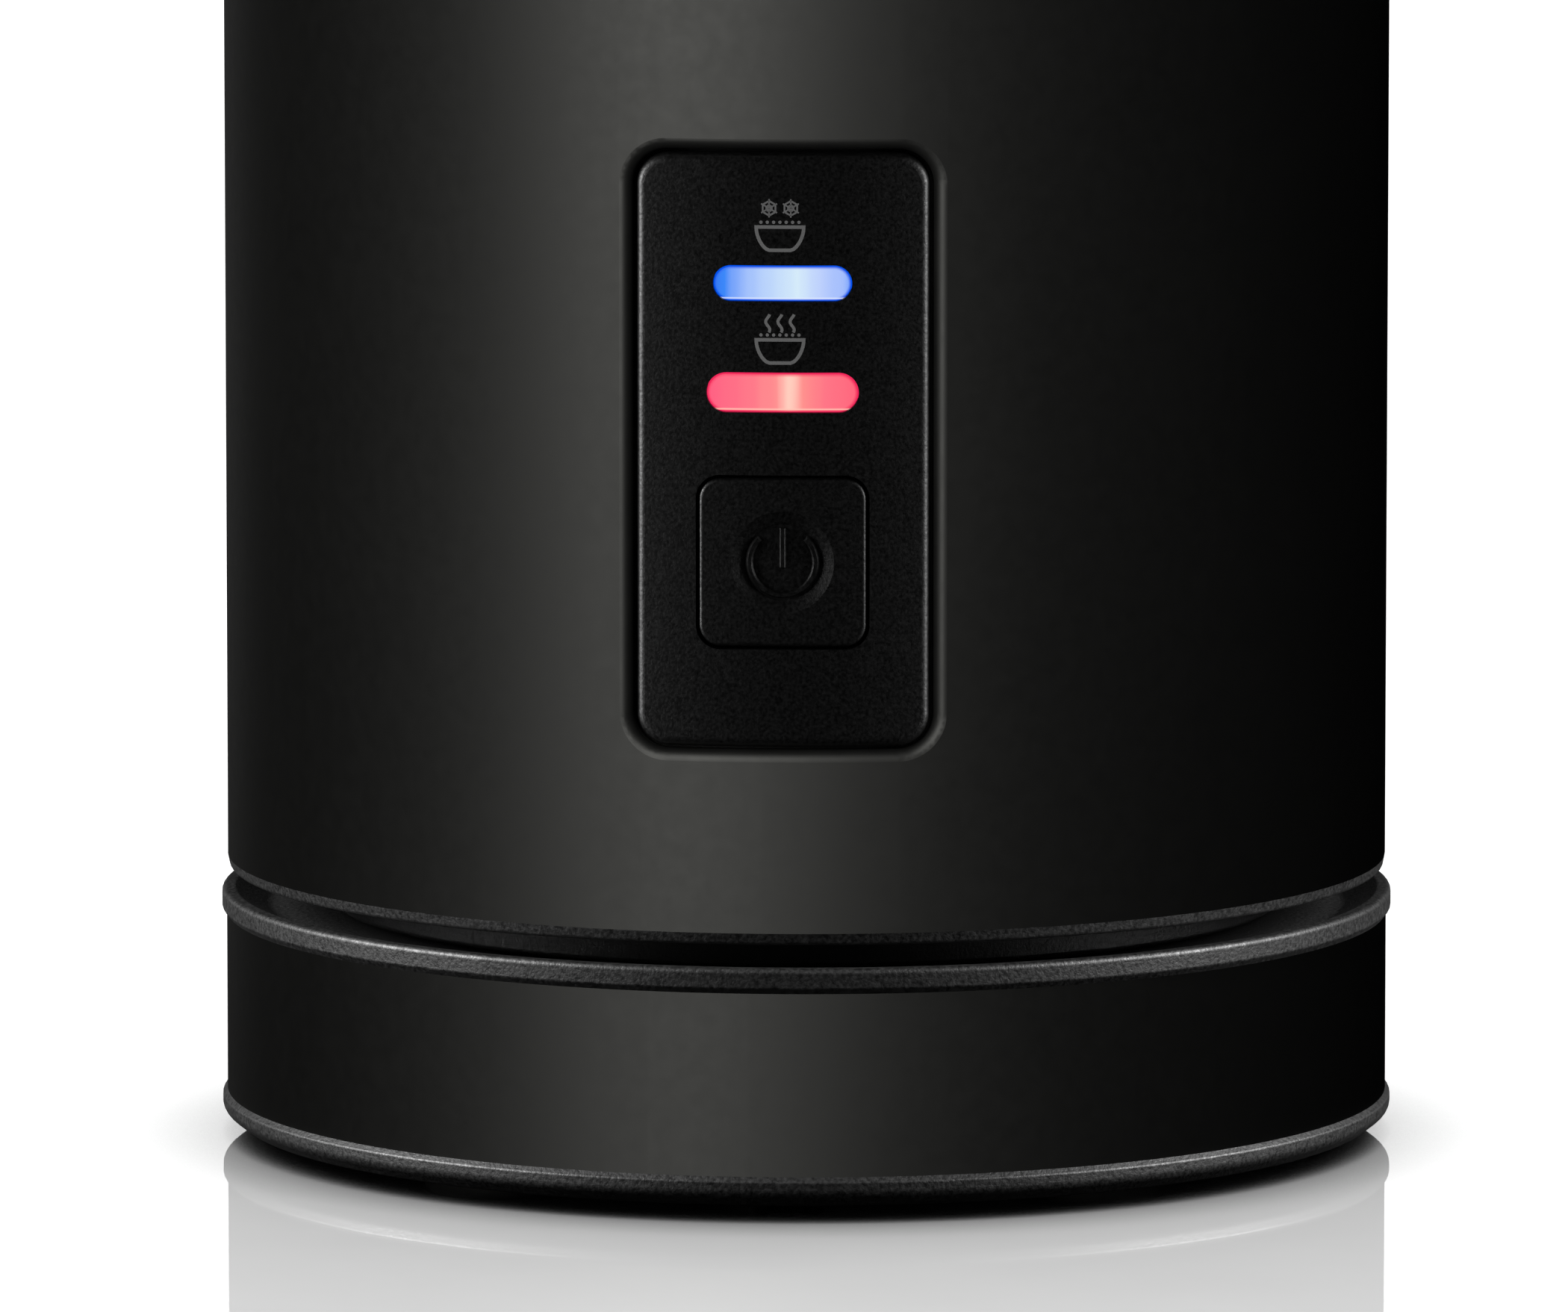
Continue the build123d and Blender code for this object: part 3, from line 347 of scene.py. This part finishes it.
def light_pipe(name, node, along_stops, edge, line):
    """Lit window. Its colour runs along X with faint ribs and deepens at the edge, and a painted highlight,
    a bright line, runs along it low down."""
    low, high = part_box(node)
    middle, half_high = (low + high) / 2, (high.z - low.z) / 2 - FLANGE_STEP
    half_wide = (high.x - low.x) / 2 - FLANGE_STEP
    mat, nodes, links, shader = new_material(name)
    split = nodes.new("ShaderNodeSeparateXYZ")
    links.new(place_of(nodes), split.inputs["Vector"])

    def spread(value, from_low, from_high):
        span = nodes.new("ShaderNodeMapRange")
        span.inputs["From Min"].default_value = from_low
        span.inputs["From Max"].default_value = from_high
        links.new(value, span.inputs["Value"])
        return span.outputs["Result"]

    def mixed(factor, first, second):
        blend = nodes.new("ShaderNodeMix")
        blend.data_type = "RGBA"
        links.new(factor, blend.inputs["Factor"])
        for socket, part in (("A", first), ("B", second)):
            if isinstance(part, tuple):
                blend.inputs[socket].default_value = (*part, 1)
            else:
                links.new(part, blend.inputs[socket])
        return blend.outputs["Result"]

    along = spread(split.outputs["X"], middle.x - half_wide, middle.x + half_wide)
    ribs = noise(nodes, links, place_of(nodes), RIBS_PER_METRE, 1.0, stretch=(1, 0.05, 0.05))
    ribbed = nodes.new("ShaderNodeMath")
    ribbed.operation = "MULTIPLY_ADD"
    ribbed.inputs[1].default_value = RIB_SHARE
    links.new(ribs, ribbed.inputs[0])
    links.new(along, ribbed.inputs[2])
    shifted = spread(ribbed.outputs["Value"], RIB_SHARE / 2, 1 + RIB_SHARE / 2)
    colour = ramp(nodes, links, shifted, along_stops)
    # How far a point is from the window's long middle line, 0 at the line and 1 at the edge.
    flat = nodes.new("ShaderNodeVectorMath")
    flat.operation = "SUBTRACT"
    flat.inputs[1].default_value = middle
    links.new(place_of(nodes), flat.inputs[0])
    parts = nodes.new("ShaderNodeSeparateXYZ")
    links.new(flat.outputs["Vector"], parts.inputs["Vector"])
    past = nodes.new("ShaderNodeMath")
    past.operation = "ABSOLUTE"
    links.new(parts.outputs["X"], past.inputs[0])
    end = spread(past.outputs["Value"], half_wide - half_high, half_wide)
    rise = nodes.new("ShaderNodeMath")
    rise.operation = "DIVIDE"
    rise.inputs[1].default_value = half_high
    links.new(parts.outputs["Z"], rise.inputs[0])
    joined = nodes.new("ShaderNodeCombineXYZ")
    links.new(end, joined.inputs["X"])
    links.new(rise.outputs["Value"], joined.inputs["Y"])
    reach = nodes.new("ShaderNodeVectorMath")
    reach.operation = "LENGTH"
    links.new(joined.outputs["Vector"], reach.inputs[0])
    near_edge = ramp(nodes, links, reach.outputs["Value"], EDGE_STOPS)
    # Painted highlight: a bright line along the window's lower edge, mixed into its glow.
    painted_highlight = ramp(nodes, links, spread(rise.outputs["Value"], HIGHLIGHT_LOW, HIGHLIGHT_HIGH), HIGHLIGHT_STOPS)
    colour = mixed(near_edge, colour, edge)
    colour = mixed(painted_highlight, colour, line)
    shader.inputs["Base Color"].default_value = (*(PIPE_TINT * part for part in edge), 1)
    shader.inputs["Roughness"].default_value = 0.35
    shader.inputs["Specular IOR Level"].default_value = 0.1
    links.new(colour, shader.inputs["Emission Color"])
    shader.inputs["Emission Strength"].default_value = 1.0
    return mat


def slot_materials():
    """One material for each of the record's slots."""
    return {
        "black_paint": black_paint(),
        "textured_plastic": grained_plastic(
            "textured_plastic", 2900.0, (0.0, 0.0065), (0.42, 0.62), 0.00008, 0.65),
        "panel_plastic": grained_plastic(
            "panel_plastic", 3600.0, (0.0, 0.0022), (0.36, 0.51), 0.00004, 0.42),
        "connector_plastic": surface("connector_plastic", (0.012, 0.018), (0.38, 0.5), 2500.0, 0.00001),
        "bracket_plastic": surface("bracket_plastic", (0.30, 0.36), (0.45, 0.6), 1800.0, 0.00002),
        "relay_plastic": surface(
            "relay_plastic", ((0.02, 0.06, 0.20), (0.03, 0.08, 0.26)), (0.22, 0.3), 900.0, 0.000004),
        "whisk_plastic": surface("whisk_plastic", (0.012, 0.018), (0.3, 0.42), 2200.0, 0.000008),
        "contact_brass": surface(
            "contact_brass", ((0.72, 0.52, 0.22), (0.82, 0.62, 0.32)), (0.2, 0.34), 2600.0, 0.000004,
            metallic=1.0, stretch=(1, 1, 8)),
        "screw_steel": surface(
            "screw_steel", (0.5, 0.62), (0.24, 0.38), 3000.0, 0.000005, metallic=1.0),
        "foot_rubber": surface("foot_rubber", (0.014, 0.022), (0.7, 0.85), 2600.0, 0.00003),
        "seal_silicone": surface(
            "seal_silicone", (0.002, 0.004), (0.55, 0.65), 1500.0, 0.00001, specular=0.2),
        "cup_coating": surface(
            "cup_coating", (0.030, 0.042), (0.24, 0.36), 4200.0, 0.00001, detail=2.0),
        "heater_aluminium": surface(
            "heater_aluminium", (0.6, 0.75), (0.35, 0.55), 1500.0, 0.00003, metallic=1.0),
        "element_steel": surface(
            "element_steel", ((0.36, 0.33, 0.30), (0.52, 0.50, 0.48)), (0.3, 0.45), 2000.0, 0.000006,
            metallic=1.0),
        "motor_steel": surface(
            "motor_steel", (0.5, 0.6), (0.25, 0.4), 1600.0, 0.000006, metallic=1.0, stretch=(1, 1, 6)),
        "magnet_iron": surface(
            "magnet_iron", (0.08, 0.13), (0.35, 0.5), 2400.0, 0.000012, metallic=1.0),
        "board_laminate": surface(
            "board_laminate", ((0.006, 0.09, 0.03), (0.010, 0.14, 0.05)), (0.28, 0.4), 800.0, 0.00001,
            blotch=260.0),
        "capacitor_can": surface("capacitor_can", (0.05, 0.08), (0.25, 0.35), 1200.0, 0.000005),
        "blue_light": light_pipe("blue_light", "light_window_blue", BLUE_STOPS, BLUE_EDGE, BLUE_PAINTED_HIGHLIGHT),
        "red_light": light_pipe("red_light", "light_window_red", RED_STOPS, RED_EDGE, RED_PAINTED_HIGHLIGHT),
        "whisk_steel": surface(
            "whisk_steel", (0.6, 0.72), (0.16, 0.26), 2600.0, 0.000004, metallic=1.0),
        "clear_window": clear_window(),
    }


ACRYLIC_IOR = 1.49


def clear_window():
    """Clear acrylic."""
    mat = surface("clear_window", (0.92, 0.95), (0.02, 0.05), 300.0, 0.000002)
    shader = mat.node_tree.nodes["Principled BSDF"]
    shader.inputs["Transmission Weight"].default_value = 1.0
    shader.inputs["IOR"].default_value = ACRYLIC_IOR
    return mat


def dress_cad_nodes():
    materials = slot_materials()
    for node, obj in NODES.items():
        obj.data.materials.clear()
        obj.data.materials.append(materials[SLOT_OF[node]])
    return materials


# ---------------------------------------------------------------- panel art

ART_LEFT = -0.2              # the art's middle, from the panel's
LINE = 0.29
SHORT = 0.4                  # longest step of a line that has to follow the panel's curve
INK = 0.02                   # the ink's thickness
INK_LIFT = 0.3 * INK         # the flat art's height over the panel, before it is thickened
BOWL_HALF, BOWL_FOOT_HALF, BOWL_HIGH = 1.97, 0.88, 1.93
BOWL_STEPS, BOWL_FULL, BOWL_DEEP = 8, 0.9, 0.75      # how far its sides swell from an ellipse
COLD_UP, HOT_UP = 1.32, 0.86     # middle of the bowl's lower line, above the lit window
DOT_R, DOT_SPAN, DOTS, DOT_UP = 0.14, 3.15, 7, 0.4
FLAKE_R, FLAKE_PLACE, FLAKE_UP = 0.76, 0.9, 1.56
FLAKE_LINE = 0.45                        # share of LINE
FLAKE_RINGS = ((0.8, 0.5), (0.36, 0.4))  # shares of FLAKE_R and of LINE
STEAM_HIGH, STEAM_SWING, STEAM_PLACE, STEAM_UP = 1.5, 0.17, 1.01, 0.62
STEAM_STEPS, STEAM_TURN, STEAM_START, STEAM_LINE = 16, 2.2 * math.pi, 0.6, 0.85


def finely(points, closed):
    """The same line in short steps, so that it can follow a curved surface."""
    ends = points[1:] + points[:1] if closed else points[1:]
    fine = []
    for start, end in zip(points, ends):
        steps = max(1, math.ceil((end - start).length / SHORT))
        fine += [start.lerp(end, i / steps) for i in range(steps)]
    return fine if closed else fine + points[-1:]


def line_faces(bm, points, width, closed=False):
    """Adds a flat line of a given width to a mesh in the XZ plane."""
    points = finely(points, closed)
    count = len(points)
    sides = []
    for i, point in enumerate(points):
        before = points[i - 1] if closed or i else point
        after = points[(i + 1) % count] if closed or i < count - 1 else point
        first, second = (point - before).normalized(), (after - point).normalized()
        along = (first + second).normalized()
        across = Vector((-along.y, along.x))
        square = max(abs(across.dot(Vector((-second.y, second.x)) if second.length else across)), 0.5)
        half = across * width / 2 / square
        sides.append([bm.verts.new((p.x, 0, p.y)) for p in (point - half, point + half)])
    for i in range(count if closed else count - 1):
        (a, b), (c, d) = sides[i], sides[(i + 1) % count]
        bm.faces.new((a, c, d, b))


def dot_face(bm, centre, radius, corners=14):
    turns = [2 * math.pi * i / corners for i in range(corners)]
    bm.faces.new([bm.verts.new((centre.x + radius * math.cos(turn), 0, centre.y + radius * math.sin(turn)))
                  for turn in turns])


def bowl(bm, foot_z):
    """Outline of a bowl with round sides, and a row of dots over it."""
    side = []
    for i in range(BOWL_STEPS + 1):
        turn = i / BOWL_STEPS * math.pi / 2
        out = BOWL_FOOT_HALF + (BOWL_HALF - BOWL_FOOT_HALF) * math.sin(turn) ** BOWL_FULL
        side.append(Vector((out, foot_z + BOWL_HIGH * (1 - math.cos(turn)) ** BOWL_DEEP)))
    mirrored = [Vector((-p.x, p.y)) for p in reversed(side)]
    line_faces(bm, [p + Vector((ART_LEFT, 0)) for p in side + mirrored], LINE, closed=True)
    top = foot_z + BOWL_HIGH
    for i in range(DOTS):
        dot_face(bm, Vector((ART_LEFT + DOT_SPAN * (i / (DOTS - 1) - 0.5), top + DOT_UP)), DOT_R)
    return top


def snowflake(bm, centre):
    """Six arms joined by two rings of six sides."""
    arms = [Vector((math.sin(k * math.pi / 3), math.cos(k * math.pi / 3))) for k in range(6)]
    for arm in arms[:3]:
        line_faces(bm, [centre - arm * FLAKE_R, centre + arm * FLAKE_R], LINE * FLAKE_LINE)
    for share, width in FLAKE_RINGS:
        line_faces(bm, [centre + arm * FLAKE_R * share for arm in arms], LINE * width, closed=True)


def steam(bm, foot):
    """One wavy line."""
    points = []
    for i in range(STEAM_STEPS + 1):
        swing = STEAM_SWING * math.sin(STEAM_TURN * i / STEAM_STEPS + STEAM_START)
        points.append(foot + Vector((swing, STEAM_HIGH * i / STEAM_STEPS)))
    line_faces(bm, points, LINE * STEAM_LINE)


def ink_on_panel(name, bm, ink):
    """Wraps flat art in millimetres onto the panel's curved front."""
    front = -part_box("panel_bezel")[0].y
    bmesh.ops.recalc_face_normals(bm, faces=bm.faces)
    for vert in bm.verts:
        x = vert.co.x * MM
        vert.co = Vector((x, -math.sqrt((front + INK_LIFT * MM) ** 2 - x * x), vert.co.z * MM))
    bmesh.ops.solidify(bm, geom=bm.faces[:], thickness=INK * MM)
    art = mesh_object(name, bm, False)
    art.data.materials.append(ink)
    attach(art, "jug")


def make_art():
    ink = surface("panel_ink", (0.10, 0.125), (0.45, 0.6), 5200.0, 0.000006, specular=0.3)
    cold = bmesh.new()
    top = bowl(cold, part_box("light_window_blue")[1].z / MM - FLANGE_STEP / MM + COLD_UP)
    for side in (-1, 1):
        snowflake(cold, Vector((ART_LEFT + side * FLAKE_PLACE, top + FLAKE_UP)))
    ink_on_panel("cold_symbol", cold, ink)
    hot = bmesh.new()
    top = bowl(hot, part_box("light_window_red")[1].z / MM - FLANGE_STEP / MM + HOT_UP)
    for place in (-1, 0, 1):
        steam(hot, Vector((ART_LEFT + place * STEAM_PLACE, top + STEAM_UP)))
    ink_on_panel("hot_symbol", hot, ink)


# ---------------------------------------------------------------- whisk and cup

WIRE_R = 0.42 * MM
TURNS, STEPS, SIDES = 42, 18, 8


def make_wire_coil(material):
    """Coil spring closed into a ring, threaded on the whisk's frame."""
    low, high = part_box("whisk_coil")
    centre = (low + high) / 2
    coil_r = (high.z - low.z) / 2 - WIRE_R
    ring_r = (high.x - low.x) / 2 - coil_r - WIRE_R
    bm = bmesh.new()
    loops = []
    count = TURNS * STEPS
    for i in range(count):
        turn, wind = 2 * math.pi * i / count, 2 * math.pi * i / STEPS
        out = Vector((math.cos(turn), math.sin(turn), 0))
        forward = Vector((-math.sin(turn), math.cos(turn), 0))
        spoke = out * math.cos(wind) + Vector((0, 0, math.sin(wind)))
        tangent = (forward * ring_r + (Vector((0, 0, math.cos(wind))) - out * math.sin(wind))
                   * coil_r * TURNS).normalized()
        side = tangent.cross(spoke).normalized()
        middle = centre + out * ring_r + spoke * coil_r
        loops.append([bm.verts.new(middle + WIRE_R * (spoke * math.cos(k) + side * math.sin(k)))
                      for k in (2 * math.pi * j / SIDES for j in range(SIDES))])
    for i, loop in enumerate(loops):
        after = loops[(i + 1) % count]
        for j in range(SIDES):
            bm.faces.new((loop[j], after[j], after[(j + 1) % SIDES], loop[(j + 1) % SIDES]))
    bmesh.ops.recalc_face_normals(bm, faces=bm.faces)
    coil = mesh_object("wire_coil", bm)
    coil.data.materials.append(material)
    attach(coil, "whisk")
    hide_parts("whisk_coil")
    for collection in ("smooth", "white_room"):
        bpy.data.collections[collection].objects.link(coil)


MARK_HEIGHTS = (0.22, 0.45, 0.72)    # of the cup's depth
MARK_SPAN, MARK_STEPS = 24.0, 16      # degrees round the cup, and how many faces
MARK_TALL, MARK_PROUD, MARK_SUNK = 0.9 * MM, 0.25 * MM, 0.1 * MM
CUP_WALL_R = 42.0 * MM


def make_level_marks(material):
    """Level lines embossed on the cup's inside wall, on the side away from the panel."""
    low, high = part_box("inner_cup")
    root, top = CUP_WALL_R + MARK_SUNK, CUP_WALL_R - MARK_PROUD
    section = ((root, -MARK_TALL / 2), (top, -MARK_TALL / 4), (top, MARK_TALL / 4), (root, MARK_TALL / 2))
    bm = bmesh.new()
    for share in MARK_HEIGHTS:
        middle = low.z + (high.z - low.z) * share
        rows = []
        for i in range(MARK_STEPS + 1):
            turn = math.radians(90 + MARK_SPAN * (i / MARK_STEPS - 0.5))
            out = Vector((math.cos(turn), math.sin(turn), 0))
            rows.append([bm.verts.new(out * radius + Vector((0, 0, middle + up))) for radius, up in section])
        for here, after in zip(rows, rows[1:]):
            for j in range(4):
                bm.faces.new((here[j], here[(j + 1) % 4], after[(j + 1) % 4], after[j]))
        bm.faces.new(rows[0])
        bm.faces.new(rows[-1])
    bmesh.ops.recalc_face_normals(bm, faces=bm.faces)
    marks = mesh_object("level_marks", bm, False)
    marks.data.materials.append(material)
    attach(marks, "jug")
    bpy.data.collections["smooth"].objects.link(marks)


# ---------------------------------------------------------------- run

bpy.context.scene.view_settings.view_transform = "Standard"
make_camera()
make_world()
make_lights()
make_stage()
MATERIALS = dress_cad_nodes()
make_art()
make_wire_coil(MATERIALS["whisk_steel"])
make_level_marks(surface("level_ink", (0.42, 0.5), (0.4, 0.5), 3000.0, 0.000004))
